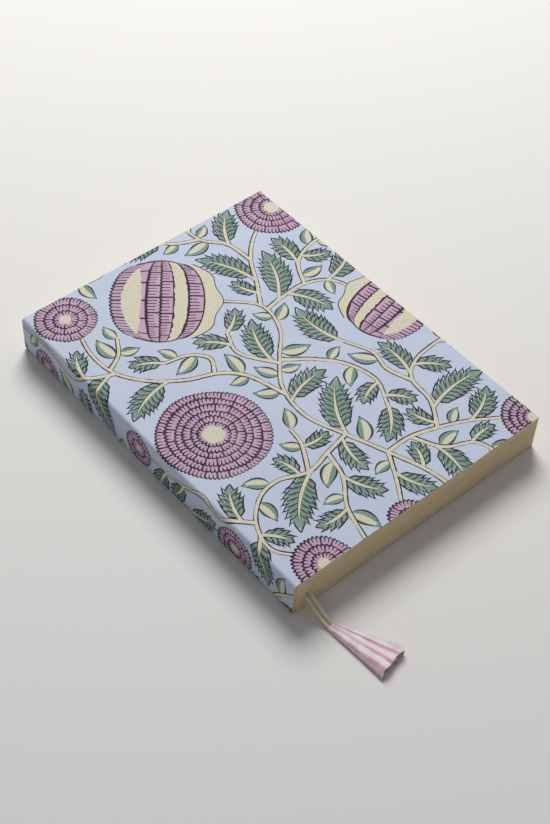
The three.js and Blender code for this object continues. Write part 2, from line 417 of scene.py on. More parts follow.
# %% Shape of the tab
TAB_LENGTH = 33 * MM
TAB_NECK = (5.4 * MM, 1.7 * MM)
TAB_MOUTH = (17.6 * MM, 4.2 * MM)
TAB_CLOTH = 0.28 * MM
NECK_PINCH = 0.82
NECK_GAP = 0.3 * MM + math.sin(TAB_TURN) * TAB_NECK[0] / 2
TAB_LINE = [  # across and up at the neck, across and up at the mouth
    (-0.30, 0.26, -0.30, 0.42),
    (0.10, 0.25, 0.10, 0.45),
    (0.52, 0.24, 0.52, 0.50),
    (0.78, 0.24, 0.86, 0.60),
    (0.90, 0.20, 0.98, 0.40),
    (0.90, 0.10, 0.92, 0.10),
    (0.70, 0.05, 0.70, 0.04),
    (0.0, 0.04, 0.0, 0.03),
    (-0.72, 0.04, -0.72, 0.04),
    (-0.95, 0.18, -0.95, 0.12),
    (-0.99, 0.60, -0.80, 0.52),
    (-0.86, 0.94, -0.58, 0.95),
    (-0.10, 1.00, -0.10, 0.93),
    (0.55, 1.00, 0.48, 0.90),
    (0.98, 0.84, 1.06, 0.97),
    (0.94, 0.40, 0.98, 0.84),
    (0.50, 0.17, 0.45, 0.70),
    (0.0, 0.15, -0.10, 0.62),
    (-0.40, 0.14, -0.42, 0.52),
]
SIDE_POINT, RIDGE_POINT, CREASE_POINT = 9, 11, 14
tab_start = Vector((neck.x, neck.y - NECK_GAP, 0))
print(f"tab: {TAB_LENGTH * 1000:.0f} mm from {tuple(round(c, 4) for c in tab_start)}")

# %% [markdown]
# Cotton. The stripes are woven in, soft at their edges and uneven where the threads cross. The panel
# between the ridge and the crease faces up, and one of its stripes runs from the neck to the middle of the
# mouth. A wider rose band along the lower side panel is partly a woven border stripe and partly painted
# warm shade on that panel.

# %% The folded cloth
STRIPE_PITCH = 5.2 * MM
STRIPE_HALF = 1.0 * MM
BORDER_AND_SHADE_HALF = 1.5 * MM
STRIPE_SHIFT = 0.55 * MM
TAB_COLUMNS = 96
TAB_ROWS = 36
SPREAD_CURVE, RISE_CURVE = 0.7, 1.15
RIPPLE, HEM_WAVE, HEM_SLANT = 0.16, 0.25, 0.7


def cloth_paint(stripe_at, border_and_shade_at):
    paint = Paint("striped cotton", 0.85)
    place = paint.sheet_place()
    wobble = paint.noise(paint.stretched(place, (260, 90, 1)), 1.0, 3.0)
    across = paint.plus(paint.part(place, "X"), paint.times(wobble, 1.1 * MM))

    def within(distance, reach, softness):
        """1 nearer than the reach, 0 beyond it, with a soft edge."""
        return paint.between(paint.times(distance, -1.0), -reach - softness, -reach + softness)

    past_stripe = paint.maths("SUBTRACT", across, stripe_at + STRIPE_SHIFT)
    stripe = within(paint.maths("PINGPONG", past_stripe, STRIPE_PITCH / 2), STRIPE_HALF, 0.4 * MM)
    # The wider rose band on the lower side panel is partly a border stripe and partly painted warm shade.
    past_border_and_shade = paint.maths("SUBTRACT", across, border_and_shade_at + STRIPE_SHIFT)
    border_and_shade = within(paint.maths("ABSOLUTE", past_border_and_shade), BORDER_AND_SHADE_HALF, 0.5 * MM)
    rose = paint.maths("MAXIMUM", stripe, border_and_shade)
    threads = paint.between(paint.noise(paint.stretched(place, (2600, 900, 1)), 1.0, 2.0), 0.3, 0.75)
    worn = paint.between(paint.noise(place, 190.0, 3.0), 0.35, 0.7)
    dyed = paint.mix(paint.times(threads, 0.6), rgb(199, 116, 136), rgb(226, 172, 184))
    white = paint.mix(worn, rgb(232, 226, 234), rgb(221, 207, 214))
    depth = paint.plus(0.55, paint.times(worn, 0.4))
    paint.colour(paint.mix(paint.times(rose, depth), white, dyed))
    weave = paint.plus(paint.threads(place, 800.0, "X"), paint.threads(place, 800.0, "Y"))
    paint.relief(weave, 0.04 * MM, 0.5)
    paint.shader.inputs["Sheen Weight"].default_value = 0.2
    return paint.material


def folded_tab():
    line = smooth_line(TAB_LINE)
    steps = np.hypot(np.diff(line[:, 2]) * TAB_MOUTH[0] / 2, np.diff(line[:, 3]) * TAB_MOUTH[1])
    run = np.concatenate([[0], np.cumsum(steps)])
    side_at, ridge_at, crease_at = (run[k * LINE_STEPS] for k in (SIDE_POINT, RIDGE_POINT, CREASE_POINT))
    bm = bmesh.new()
    bmesh.ops.create_grid(bm, x_segments=TAB_COLUMNS, y_segments=TAB_ROWS, size=0.5)
    uv = bm.loops.layers.uv.new("place")
    grid_place = {}
    for vertex in bm.verts:
        share, down = vertex.co.x + 0.5, vertex.co.y + 0.5
        at = share * run[-1]
        neck_x, neck_z, mouth_x, mouth_z = (np.interp(at, run, line[:, k]) for k in range(4))
        neck_x *= NECK_PINCH
        x = neck_x + (mouth_x - neck_x) * down**SPREAD_CURVE
        z = neck_z + (mouth_z - neck_z) * down**RISE_CURVE
        grid_place[vertex] = (at, down * TAB_LENGTH)
        width = TAB_NECK[0] + (TAB_MOUTH[0] - TAB_NECK[0]) * down
        height = TAB_NECK[1] + (TAB_MOUTH[1] - TAB_NECK[1]) * down
        ripple = math.sin(at * 1500 + down * 4) * RIPPLE * MM * down * (1 - down * 0.4)
        hem = (math.sin(at * 700) * HEM_WAVE - mouth_z * HEM_SLANT) * MM * down**8
        middle = tab_start + tab_along * (down * TAB_LENGTH * 0.992 + hem)
        lift = TAB_CLOTH / 2 + z * (height - TAB_CLOTH) + ripple * z
        vertex.co = middle + tab_across * (x * width / 2) + Vector((0, 0, lift))
    map_faces(bm.faces, uv, grid_place.get)
    bmesh.ops.recalc_face_normals(bm, faces=bm.faces)
    made = add_mesh("cloth_tab_folds", bm, cloth_paint(crease_at - 0.3 * (crease_at - ridge_at), side_at))
    print(f"tab cloth: {run[-1] * 1000:.1f} mm wide at the mouth")
    return smooth_shaded(with_modifiers(give_thickness(made, TAB_CLOTH)), 50), run[-1]


tab, tab_cut_width = folded_tab()
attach(tab, "tab")
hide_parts("cloth_tab")

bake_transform(ribbon)
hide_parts("ribbon_tail")

# %% [markdown]
# Inner ribbon. Between the leaves the ribbon is pressed flat. This stretch runs on for a millimetre past
# the tail edge, along the start of the free stretch.

# %% Inner ribbon
INNER_STEPS = 24
EXIT_STEP = 0.15 * MM
inner_low, inner_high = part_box("ribbon_inner")
inner_head = Vector((inner_low.x + RIBBON_WIDTH / 2, inner_high.y, RIBBON_EXIT.z))
inner_path = [inner_head.lerp(RIBBON_EXIT, k / INNER_STEPS) for k in range(INNER_STEPS + 1)]
inner_path += resampled([RIBBON_EXIT, route[0], route[1]], EXIT_STEP)[1:]
inner_ribbon = band("ribbon_between_leaves", inner_path, 0.0)
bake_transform(inner_ribbon)
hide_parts("ribbon_inner")

# %% [markdown]
# Printed paper. One sheet wraps the front cover, the spine and the back cover. It is printed by hand with
# carved blocks, in inks on a pale blue ground, and an ink is a layer with a crisp edge. So the pattern is
# drawn as flat shapes on the unfolded sheet, in millimetres, with u across the sheet from the middle of the
# spine and v from the tail to the head. Each shape belongs to a pass of printing, and later passes cover
# earlier ones. The pattern is in the common manner of such floral papers: rosettes of small petals,
# half-open flowers, serrated leaves and branching stems.

# %% Inks and the first strokes
PAPER, PINK, PLUM, CREAM, GREEN, INK = range(6)
LEAF_FILL, LEAF_LINE, STEM_LINE, STEM_FILL, FLOWER = range(5)
PETAL_WIDTH = 2.0
PETAL_LINE = 0.66
RIM_VALLEY = 0.5
PETAL_SHOULDER = 0.8
REGISTER = np.array([0.22, -0.16])
shapes = []
hand = np.random.default_rng(5)
pen = np.random.default_rng(8)


def print_shape(printing, ink, outline):
    shapes.append((printing, ink, np.asarray(outline, float)))


def polar(turn):
    return np.array([math.cos(turn), math.sin(turn)])


def stroke(printing, ink, line, widths, shift=0.0):
    """A line drawn with a pen whose width changes along it."""
    line = np.asarray(line, float)
    along = np.gradient(line, axis=0)
    along /= np.linalg.norm(along, axis=1)[:, None]
    side = np.stack([-along[:, 1], along[:, 0]], axis=1)
    half = np.interp(np.linspace(0, 1, len(line)), np.linspace(0, 1, len(widths)), widths)[:, None] / 2
    half = half * pen.uniform(0.9, 1.12, half.shape)
    middle = line + side * shift
    print_shape(printing, ink, np.vstack([middle + side * half, (middle - side * half)[::-1]]))


# %% [markdown]
# Petals. A row of petals lies between an inner and an outer edge. The plum block prints its ground with a
# scalloped rim, and the pink block prints small petals on it, joined in groups of three to five. What stays
# plum between them is the fine outline. The pink is a little off register, as hand printing is. Heights are
# shares of the row's height.


# %% Petals, rosettes and buds
def between(inner, outer, t, height):
    return inner(t) * (1 - height) + outer(t) * height


def petal_row(inner, outer, length, closed=False):
    count = max(4, round(length / PETAL_WIDTH))
    gap = PETAL_LINE / length / 2
    row_height = np.linalg.norm(outer(0.5) - inner(0.5))
    cuts = np.linspace(0, 1, count + 1)
    valley = 1 - RIM_VALLEY / row_height
    rim = []
    for a, b in zip(cuts, cuts[1:]):
        reach = 1 + (0.4 + 0.3 * hand.random()) / row_height
        width = b - a
        rim += [(a, valley), (a + width * 0.1, 1.0), (a + width * 0.32, reach)]
        rim += [(b - width * 0.32, reach), (b - width * 0.1, 1.0)]
    ground = [between(inner, outer, *place) for place in [*rim, (1.0, valley)]]
    print_shape(FLOWER, PLUM, ground if closed else ground + [inner(t) for t in cuts[::-1]])
    first = 0
    while first < count:
        last = min(count, first + 3 + int(hand.integers(0, 3)))
        last = count if count - last < 2 else last
        group = [(cuts[first] + 1.4 * gap, 0.06)]
        for k in range(first, last):
            a = cuts[k] + gap * (1.4 if k == first else 0.8)
            b = cuts[k + 1] - gap * (1.4 if k == last - 1 else 0.8)
            width = b - a
            notch = 0.22 + 0.3 * hand.random()
            top = 1 - (0.22 + 0.36 * hand.random()) / row_height
            shoulder = top - PETAL_SHOULDER / row_height
            if k > first:
                group.append((a, notch))
            group += [(a, shoulder), (a + width * 0.25, top), (b - width * 0.25, top), (b, shoulder)]
            if k < last - 1:
                group.append((b, notch))
        group.append((cuts[last] - 1.4 * gap, 0.06))
        print_shape(FLOWER, PINK, np.array([between(inner, outer, *place) for place in group]) + REGISTER)
        first = last


def rosette(centre, radius, rings):
    """A round flower: rings of petals that grow deeper outwards, round a cream heart."""
    centre = np.array(centre, float)

    def circle(r):
        wave = hand.uniform(0, math.tau, 2)

        def at(t):
            uneven = 0.02 * math.sin(2 * math.tau * t + wave[0]) + 0.01 * math.sin(5 * math.tau * t + wave[1])
            return centre + polar(math.tau * t) * r * (1 + uneven)

        return at

    shares = np.linspace(0, 1, rings + 1) ** 1.18 * 0.81 + 0.19
    edges = [circle(radius * share) for share in shares]
    for k in range(rings, 0, -1):
        petal_row(edges[k - 1], edges[k], math.tau * radius * shares[k], closed=True)
    turns = np.linspace(0, math.tau, 27)[:-1]
    heart = [centre + polar(t) * radius * shares[0] * (0.98 + 0.16 * hand.random()) for t in turns]
    print_shape(FLOWER, CREAM, heart)


def bud(base, turn, length, width):
    """A barrel-shaped flower from the side: rows of petals, cream bands between them, and a cream calyx."""
    base = np.array(base, float)
    along, across = polar(turn), polar(turn - math.pi / 2)
    steps = np.linspace(0, 1, 40)

    def edge(height, reach=1.0):
        def at(t):
            s = (2 * t - 1) * reach
            dome = max(0.0, math.cos(s * math.pi / 2)) ** 0.62
            rise = 0.42 * height + 0.58 * (0.5 + 0.5 * dome * (2 * height - 1))
            side = math.sin(s * 1.25) / math.sin(1.25) * (1 - 0.1 * (2 * height - 1) ** 2)
            return base + across * side * width / 2 + along * (0.06 + 0.94 * rise) * length

        return at

    def cream_band(upper, lower):
        """A cream band whose edges are as rough as the block that prints it."""
        outline = np.array([*upper, *lower[::-1]])
        print_shape(FLOWER, CREAM, outline + hand.uniform(-0.4, 0.4, (len(outline), 1)) * along)

    foot_line = edge(0.06, 0.86)
    for ink, rim in ((INK, 0.45), (CREAM, 0.0)):
        calyx = [foot_line(t) + along for t in steps]
        for t in steps[::-1]:
            s = 2 * t - 1
            drop = length * (0.035 + 0.115 * (1 - s * s)) * (1 + 0.16 * math.cos(s * math.pi * 3)) + rim
            calyx.append(foot_line(t) - along * drop + across * s * (width * 0.03 + rim))
        print_shape(FLOWER, ink, calyx)
    barrel = [edge(0.9)(t) for t in steps] + [edge(h)(1.0) for h in np.linspace(0.85, 0.1, 9)]
    barrel += [edge(0.06)(t) for t in steps[::-1]] + [edge(h)(0.0) for h in np.linspace(0.1, 0.85, 9)]
    middle = np.mean(barrel, axis=0)
    print_shape(FLOWER, PLUM, middle + (np.array(barrel) - middle) * (1 + 1.3 / width))
    petal_row(edge(0.64), edge(1.0), width)
    low, high = edge(0.69, 0.74), edge(0.89, 0.74)
    swell = [0.08 + 0.92 * math.sin(math.pi * t) ** 0.7 for t in steps]
    cream_band(
        [between(low, high, t, 0.5 + 0.5 * s) for t, s in zip(steps, swell)],
        [between(low, high, t, 0.5 - 0.5 * s) for t, s in zip(steps, swell)],
    )
    petal_row(edge(0.50), edge(0.64), width * 1.2)
    petal_row(edge(0.37), edge(0.50), width * 1.15)
    cream_band([edge(0.355)(t) for t in steps], [edge(0.225)(t) for t in steps])
    petal_row(edge(0.06), edge(0.215), width * 1.1)


# %% [markdown]
# Leaves. A serrated leaf is a green shape inside a dark outline, with dark hatching that runs from the
# midrib to each tooth, and a cream midrib printed last. A plain leaf has a dark outline, a green rim and a
# cream middle with a row of dots. Both are drawn along a `Rib`, the leaf's gently bent middle line, and
# `beside` gives a place beside that line.


# %% Leaves
class Rib:
    def __init__(self, base, tip, bend):
        self.base, self.tip = np.array(base, float), np.array(tip, float)
        reach = self.tip - self.base
        self.length = np.linalg.norm(reach)
        self.knee = (self.base + self.tip) / 2 + np.array([-reach[1], reach[0]]) * bend

    def at(self, t):
        return (1 - t) ** 2 * self.base + 2 * t * (1 - t) * self.knee + t * t * self.tip

    def away(self, t, side):
        d = 2 * (1 - t) * (self.knee - self.base) + 2 * t * (self.tip - self.knee)
        return side * np.array([-d[1], d[0]]) / np.linalg.norm(d)

    def beside(self, t, side, width, share, ahead=0.0):
        return self.at(t + ahead / self.length) + self.away(t, side) * width * share


BLADE_START, BLADE_END = 0.15, 0.88
TOOTH_PITCH = 3.0
GREEN_INSET = 0.3
WIDE_BLADE = 4.2


def fullness(t):
    """A blade's half width as a share of its greatest, at a share t of the rib."""
    share = np.clip((t - BLADE_START + 0.07) / (1.05 - BLADE_START), 0, 1)
    return np.sin(np.pi * share**0.85) ** 0.62


def serrated_leaf(rib, half_width):
    teeth = max(3, round(rib.length * (BLADE_END - BLADE_START) / TOOTH_PITCH))
    lines, sides = [], []
    for side in (1, -1):
        outline, green = [rib.at(BLADE_START)], [rib.at(BLADE_START)]
        for k in range(teeth):
            a = BLADE_START + (BLADE_END - BLADE_START) * k / teeth
            b = a + (BLADE_END - BLADE_START) / teeth
            middle = (a + b) / 2
            w = half_width * fullness(middle) * (0.92 + 0.14 * hand.random())
            belly = rib.beside(b, side, w, 0.96)
            point = rib.beside(b, side, w, 1.18, ahead=1.5)
            notch = rib.beside(a, side, w, 0.7 if k else 0.4)
            edge = rib.beside(middle, side, w, 0.98)
            thorn = rib.beside(b, side, w, 1.3, ahead=2.3)
            inset = rib.away(middle, side) * GREEN_INSET
            outline += [notch, edge, point]
            green += [notch - inset, edge - inset, belly * 0.5 + point * 0.5 - inset]
            lines.append(([belly * 0.6 + point * 0.4, thorn], [0.8, 0.25]))
            if k:
                root = rib.at(max(0.05, a - 1.4 / rib.length))
                hatch = [root, notch * 0.5 + rib.at(a) * 0.5, notch * 0.4 + belly * 0.6]
                lines.append((hatch, [0.3, 0.58, 0.5]))
            if w > WIDE_BLADE:
                low = rib.beside(a, side, w, 0.3, ahead=0.5)
                lines.append(([low, low * 0.4 + belly * 0.6], [0.36, 0.2]))
        shoulder = rib.beside(0.95, side, half_width, 0.28)
        outline += [rib.beside(BLADE_END, side, half_width, 0.34), shoulder, rib.at(1.05)]
        sides.append([*green, shoulder, rib.at(1.0)])
        lines.append((outline, [0.8, 0.98, 0.95, 0.7]))
    print_shape(LEAF_FILL, GREEN, np.vstack([sides[0], sides[1][::-1]]) + REGISTER * 1.3)
    for line, widths in lines:
        stroke(LEAF_LINE, INK, line, widths)
    vein = [rib.at(t) for t in np.linspace(0, 0.86, 9)]
    stroke(LEAF_LINE, INK, vein, [2.2, 2.2, 1.9, 0.7])
    stroke(STEM_FILL, CREAM, vein, [1.5, 1.6, 1.3, 0.3], shift=0.1)


def plain_leaf(rib, half_width):
    def edge(t, side, share):
        return rib.at(t) + rib.away(t, side) * share * half_width * math.sin(math.pi * t**0.8)

    layers = (
        (LEAF_FILL, INK, 0, 1, 1.2, 1.2),
        (LEAF_FILL, GREEN, 0.05, 0.93, 0.92, 0.92),
        (LEAF_LINE, CREAM, 0.0, 0.82, 0.22, 0.76),
    )
    for printing, ink, start, end, left, right in layers:
        steps = np.linspace(start, end, 11)
        outline = [edge(t, 1, left) for t in steps] + [edge(t, -1, right) for t in steps[::-1]]
        print_shape(printing, ink, outline)
    for t in np.linspace(0.2, 0.75, 5):
        print_shape(STEM_LINE, INK, [edge(t, 1, 0.62) + 0.22 * polar(k * math.tau / 5) for k in range(5)])


# %% [markdown]
# Layout. Flowers and stems are placed in millimetres on the unfolded sheet. The spine lies between
# u = -10 and 10, the front cover beyond it on the right and the back cover on the left.

# %% Flowers and stems
ROSETTES = [  # centre, radius and rings of petals
    ((36.5, -14), 26.5, 6),
    ((26, 88), 15.0, 3),
    ((158, 88), 19.5, 4),
    ((160, -100), 15.5, 4),
    ((28, -100), 14.0, 3),
    ((74, -106), 10.0, 2),
    ((0, 8), 9.0, 2),
    ((-7, 82), 9.0, 2),
    ((-4, -62), 11.5, 3),
    ((-62, -58), 20.0, 5),
    ((-124, 12), 18.0, 4),
    ((-36, 64), 16.5, 4),
    ((-166, -88), 18.0, 4),
    ((-100, 108), 19.0, 4),
    ((-162, 92), 14.0, 3),
]
BUDS = [  # base, direction in degrees, length and width
    ((92, 52), 141, 53, 56),
    ((152, 18), -78, 43, 45),
    ((-86, 42), 62, 38, 40),
    ((-118, -72), -130, 36, 38),
]
STEMS = [
    [(101, -110), (99, -92), (92, -72), (84, -52), (77, -32), (80, -12),
     (92, 4), (104, 18), (107, 36), (91, 53)],
    [(79, -16), (72, 4), (62, 14), (48, 20), (34, 30), (24, 44), (22, 60), (26, 78)],
    [(84, -52), (70, -55), (56, -58), (42, -53), (30, -55), (19, -65), (15, -80), (24, -92)],
    [(92, -72), (106, -72), (120, -76), (134, -82), (150, -92)],
    [(120, -76), (129, -62), (132, -46), (144, -38), (168, -36)],
    [(132, -48), (127, -34), (129, -22), (123, -8)],
    [(108, 32), (120, 34), (134, 34), (146, 28), (152, 15)],
    [(90, 2), (104, -8), (114, -20), (118, -36), (112, -50)],
    [(107, 36), (116, 50), (124, 64), (136, 76), (152, 84)],
    [(124, 64), (122, 80), (113, 92), (112, 110)],
    [(134, 34), (142, 48), (156, 54), (170, 54)],
    [(60, 15), (65, 24), (58, 32), (46, 35)],
    [(70, -55), (66, -70), (56, -84), (50, -104)],
    [(92, -72), (84, -86), (76, -98)],
    [(106, -72), (114, -86), (128, -94), (132, -110)],
    [(24, 44), (12, 50), (4, 62), (8, 80), (6, 106)],
    [(84, 4), (78, 18), (82, 32)],
    [(24, 48), (32, 53), (38, 62)],
    [(34, 112), (45, 104), (58, 102), (70, 110)],
    [(113, 92), (100, 98), (92, 108)],
    [(56, -58), (64, -44), (66, -34)],
    [(19, -65), (8, -52), (10, -38), (4, -22), (2, 0)],
    [(-104, -110), (-96, -86), (-90, -60), (-96, -34), (-92, -10), (-84, 10), (-87, 43)],
    [(-94, -78), (-80, -86), (-60, -87), (-40, -80), (-27, -66), (-12, -62)],
    [(-93, -18), (-76, -22), (-58, -24), (-44, -14), (-35, 4), (-33, 26), (-36, 52)],
    [(-86, 6), (-70, 14), (-59, 32), (-58, 56), (-64, 78), (-88, 98)],
    [(-95, -40), (-112, -40), (-130, -34), (-146, -18), (-156, 4), (-158, 30), (-150, 52), (-158, 86)],
    [(-92, -66), (-104, -70), (-117, -71)],
    [(-114, -40), (-120, -24), (-124, 0)],
    [(-152, 46), (-136, 50), (-120, 62), (-108, 78), (-103, 94)],
    [(-60, -87), (-52, -100), (-50, -112)],
    [(-34, 14), (-22, 22), (-14, 36), (-14, 54), (-8, 76)],
    [(-60, 66), (-46, 86), (-36, 106)],
    [(-130, -34), (-142, -48), (-150, -66), (-160, -80)],
    [(-24, -64), (-22, -48), (-32, -38)],
    [(-38, -4), (-26, -8), (-14, -16), (-8, -30)],
    [(-96, -86), (-112, -98), (-130, -104), (-142, -112)],
    [(-44, 84), (-28, 88), (-18, 98)],
    [(-26, -68), (-22, -82), (-8, -90), (6, -104)],
    [(-130, -103), (-136, -92), (-134, -78)],
    [(-70, 14), (-62, 4), (-60, -8)],
]
STEM_STEPS = 9
BRANCH_REACH = 7


def joined(others, points):
    """A branch whose first point lies on the stem that it leaves."""
    gaps = np.linalg.norm(others - points[0], axis=1)
    return [others[gaps.argmin()], *points[1:]] if gaps.min() < BRANCH_REACH else points


stem_lines = [smooth_line(STEMS[0], STEM_STEPS)]
for points in STEMS[1:]:
    stem_lines.append(smooth_line(joined(np.vstack(stem_lines), points), STEM_STEPS))
for line in stem_lines:
    stroke(STEM_LINE, INK, line, [2.75, 2.2], shift=0.16)
    stroke(STEM_FILL, CREAM, line, [1.8, 1.3])
for centre, radius, rings in ROSETTES:
    rosette(centre, radius, rings)
for base, degrees, length, width in BUDS:
    bud(base, math.radians(degrees), length, width)

# %% [markdown]
# Room for leaves. A grid of small cells marks which parts of the sheet are taken. Leaves grow from places
# along the stems, the largest first, each only where its blade finds free cells. That fills the ground
# evenly and lets no leaf run over a flower or another leaf.

# %% Growing the leaves
CELL = 0.5
HALF_SPAN = np.array([176.0, 116.0])
taken = np.zeros(tuple((2 * HALF_SPAN / CELL).astype(int)), bool)


def cells(points):
    at = ((np.reshape(points, (-1, 2)) + HALF_SPAN) / CELL).astype(int)
    return tuple(np.clip(at, 0, np.array(taken.shape) - 1).T)


def take_disc(centre, radius):
    across = np.arange(-radius, radius + CELL, CELL / 1.5)
    spots = np.stack(np.meshgrid(across, across), axis=-1).reshape(-1, 2)
    taken[cells(np.asarray(centre) + spots[np.hypot(*spots.T) <= radius])] = True


def blade(rib, half_width, t, shares, margin):
    """Places all over a leaf's blade."""
    t = t[:, None]
    slope = 2 * (1 - t) * (rib.knee - rib.base) + 2 * t * (rib.tip - rib.knee)
    away = np.stack([-slope[:, 1], slope[:, 0]], axis=1) / np.hypot(slope[:, 0], slope[:, 1])[:, None]
    reach = fullness(t) * half_width * 1.16 + margin
    return rib.at(t)[:, None] + (away * reach)[:, None] * shares[None, :, None]


GROUND = 1.0
TEST_ALONG, TEST_ACROSS = np.linspace(0.33, 1.1, 16), np.linspace(-1, 1, 9)
FILL_ALONG, FILL_ACROSS = np.linspace(0.06, 1.06, 110), np.linspace(-1, 1, 40)


def grow(base, heading, length, half_width, leans):
    """Finds room for a leaf beside a stem, takes that room and prints the leaf."""
    for lean in leans:
        reach = polar(heading + lean) * length
        if taken[cells([base + reach * 0.6, base + reach * 0.95])].any():
            continue
        bend = 0.16 * math.copysign(1, -lean) * (1 if length > 17 else -1)
        rib = Rib(base, base + reach, bend)
        if not taken[cells(blade(rib, half_width, TEST_ALONG, TEST_ACROSS, GROUND))].any():
            taken[cells(blade(rib, half_width, FILL_ALONG, FILL_ACROSS, 0.3))] = True
            (serrated_leaf if half_width > 3.7 else plain_leaf)(rib, half_width)
            return True
    return False


for centre, radius, rings in ROSETTES:
    take_disc(centre, radius * 1.07)
for base, degrees, length, width in BUDS:
    take_disc(np.array(base) + polar(math.radians(degrees)) * length * 0.5, max(length, width) * 0.54)
SPROUT_PITCH = 3.0
growing_points, stem_ends = [], []
for line in stem_lines:
    for spot in line:
        take_disc(spot, 1.0)
    run = run_along(line)
    for at in np.arange(SPROUT_PITCH, run[-1] - SPROUT_PITCH / 2, SPROUT_PITCH):
        here, ahead = (np.array([np.interp(x, run, line[:, k]) for k in (0, 1)]) for x in (at, at + 1))
        if (abs(here) < HALF_SPAN - 12).all():
            growing_points.append((here, math.atan2(*(ahead - here)[::-1])))
    if (abs(line[-1]) < HALF_SPAN - 14).all():
        stem_ends.append((line[-1], math.atan2(*(line[-1] - line[-2])[::-1])))

LEAF_SIZES = [  # length and half width
    (35, 6.9), (31, 6.6), (27, 6.1), (23, 5.5), (19.5, 4.9), (16.5, 4.5),
    (16, 3.4), (13.5, 3.0), (11, 2.6),
]
for base, heading in stem_ends:
    any(grow(base, heading, *size, (0.05, 0.3, -0.3, 0.6, -0.6)) for size in LEAF_SIZES[1:])
order = hand.permutation(len(growing_points))
grown = 0
for length, half_width in LEAF_SIZES:
    for k in order:
        for side in (1, -1):
            size = hand.uniform(0.88, 1.06) if half_width > 4 else 1.0
            leans = (side * 0.95, side * 0.7, side * 1.2)
            grown += grow(*growing_points[k], length * size, half_width * size, leans)
shapes.sort(key=lambda shape: shape[0])
print("pattern:", grown, "leaves,", len(shapes), "shapes")

# %% [markdown]
# From shapes to paper. A triangulation of all the outlines cuts the sheet along the edge of every ink, and
# each triangle then takes the ink of the last shape that covers its middle. Lines across the sheet at the
# folds let the paper turn there, and a few more lie in the middle of the spine, where the notebook opens. A
# real sheet has two faces and a cut edge, so a plain back and a rim close it.

# %% Unfolded sheet
SHEET_HALF_SPINE = MIDDLE_Z / MM - FOLD_RADIUS / MM
FOLD_LENGTH = FOLD_RADIUS / MM * math.pi / 2
SHEET_HALF_HEIGHT = (HEAD_Y - TAIL_Y) / 2 / MM
SHEET_HALF_WIDTH = SHEET_HALF_SPINE + FOLD_LENGTH + (FORE_EDGE_X - SPINE_X - FOLD_RADIUS) / MM
HINGE_LINE = SHEET_HALF_SPINE + FOLD_LENGTH / 2
FOLD_STEPS = 5
BEND_HALF = 0.15
BEND_MIDDLE = (OPENING_Z - MIDDLE_Z) / MM
fold_lines = [SHEET_HALF_SPINE + FOLD_LENGTH * k / (2 * FOLD_STEPS) for k in range(2 * FOLD_STEPS + 1)]
bend_lines = [BEND_MIDDLE + BEND_HALF * k / 2 for k in range(-2, 3)]
cross_lines = sorted(bend_lines + fold_lines + [-line for line in fold_lines])


def torn(u0, u1, v0, v1):
    """The outline of a stretch of sheet, whose knife-cut edges are a little rough."""
    rough = np.random.default_rng(11)
    corners = [(u0, v0), (u1, v0), (u1, v1), (u0, v1)]
    outline = []
    for a, b in zip(corners, corners[1:] + corners[:1]):
        a, b = np.array(a, float), np.array(b, float)
        length = np.linalg.norm(b - a)
        inward = np.array([-(b - a)[1], (b - a)[0]]) / length
        hinge = a[0] == b[0] and abs(a[0]) < SHEET_HALF_WIDTH - 1
        count = 1 if hinge else max(1, int(length / 1.6))
        wander = 0.0
        for k in range(count):
            wander = 0.8 * wander + rough.normal(0, 0.05)
            deep = 0.0 if k == 0 else min(0.35, abs(wander))
            outline.append(a + (b - a) * k / count + inward * deep)
    return np.array(outline)


def covers(outline, points):
    """Which points lie inside an outline, by its winding number."""
    start, end = outline, np.roll(outline, -1, axis=0)
    x, y = points[:, :1], points[:, 1:]
    side = (end[:, 0] - start[:, 0]) * (y - start[:, 1]) - (x - start[:, 0]) * (end[:, 1] - start[:, 1])
    rising = (start[:, 1] <= y) & (end[:, 1] > y) & (side > 0)
    falling = (start[:, 1] > y) & (end[:, 1] <= y) & (side < 0)
    return rising.sum(axis=1) != falling.sum(axis=1)


def cut_sheet(outlines, lines, v0, v1):
    """Triangles between all the outlines and fold lines."""
    points, edges = [], []
    for outline in outlines:
        first = len(points)
        points += [Vector(p) for p in outline]
        edges += [(first + k, first + (k + 1) % len(outline)) for k in range(len(outline))]
    for u in lines:
        points += [Vector((u, v0 - 1)), Vector((u, v1 + 1))]
        edges.append((len(points) - 2, len(points) - 1))
    made = geometry.delaunay_2d_cdt(points, edges, [], 0, 1e-5, True)
    return np.array([tuple(p) for p in made[0]]), np.array([tuple(f) for f in made[2]])


# %% [markdown]
# Wrapping. A place on the sheet turns into a place on the book: up the flat spine, round a fold of 2 mm
# radius, and out over the cover. The sheet's back lies one thickness deeper.


# %% Round the book
def on_book(u, v, depth=0.0):
    side, out = np.sign(u), np.abs(u)
    turn = np.clip((out - SHEET_HALF_SPINE) / (FOLD_RADIUS / MM), 0, math.pi / 2)
    radius = FOLD_RADIUS - depth
    past_fold = np.maximum(0, out - SHEET_HALF_SPINE - FOLD_LENGTH)
    x = SPINE_X + FOLD_RADIUS - radius * np.cos(turn) + past_fold * MM
    lift = np.minimum(out, SHEET_HALF_SPINE) * MM + radius * np.sin(turn)
    facing = np.stack([-np.cos(turn), np.zeros_like(turn), side * np.sin(turn)], axis=1)
    return np.stack([x, v * MM, MIDDLE_Z + side * lift], axis=1), facing


# %% [markdown]
# The face of the sheet is cut first, each triangle with its ink. The back needs no inks, so it only shares
# the face's rim and the fold lines. A rim of narrow faces joins the two. The normals are given and not
# guessed: each corner faces straight out of the paper, so the many small triangles shade as one smooth
# sheet.


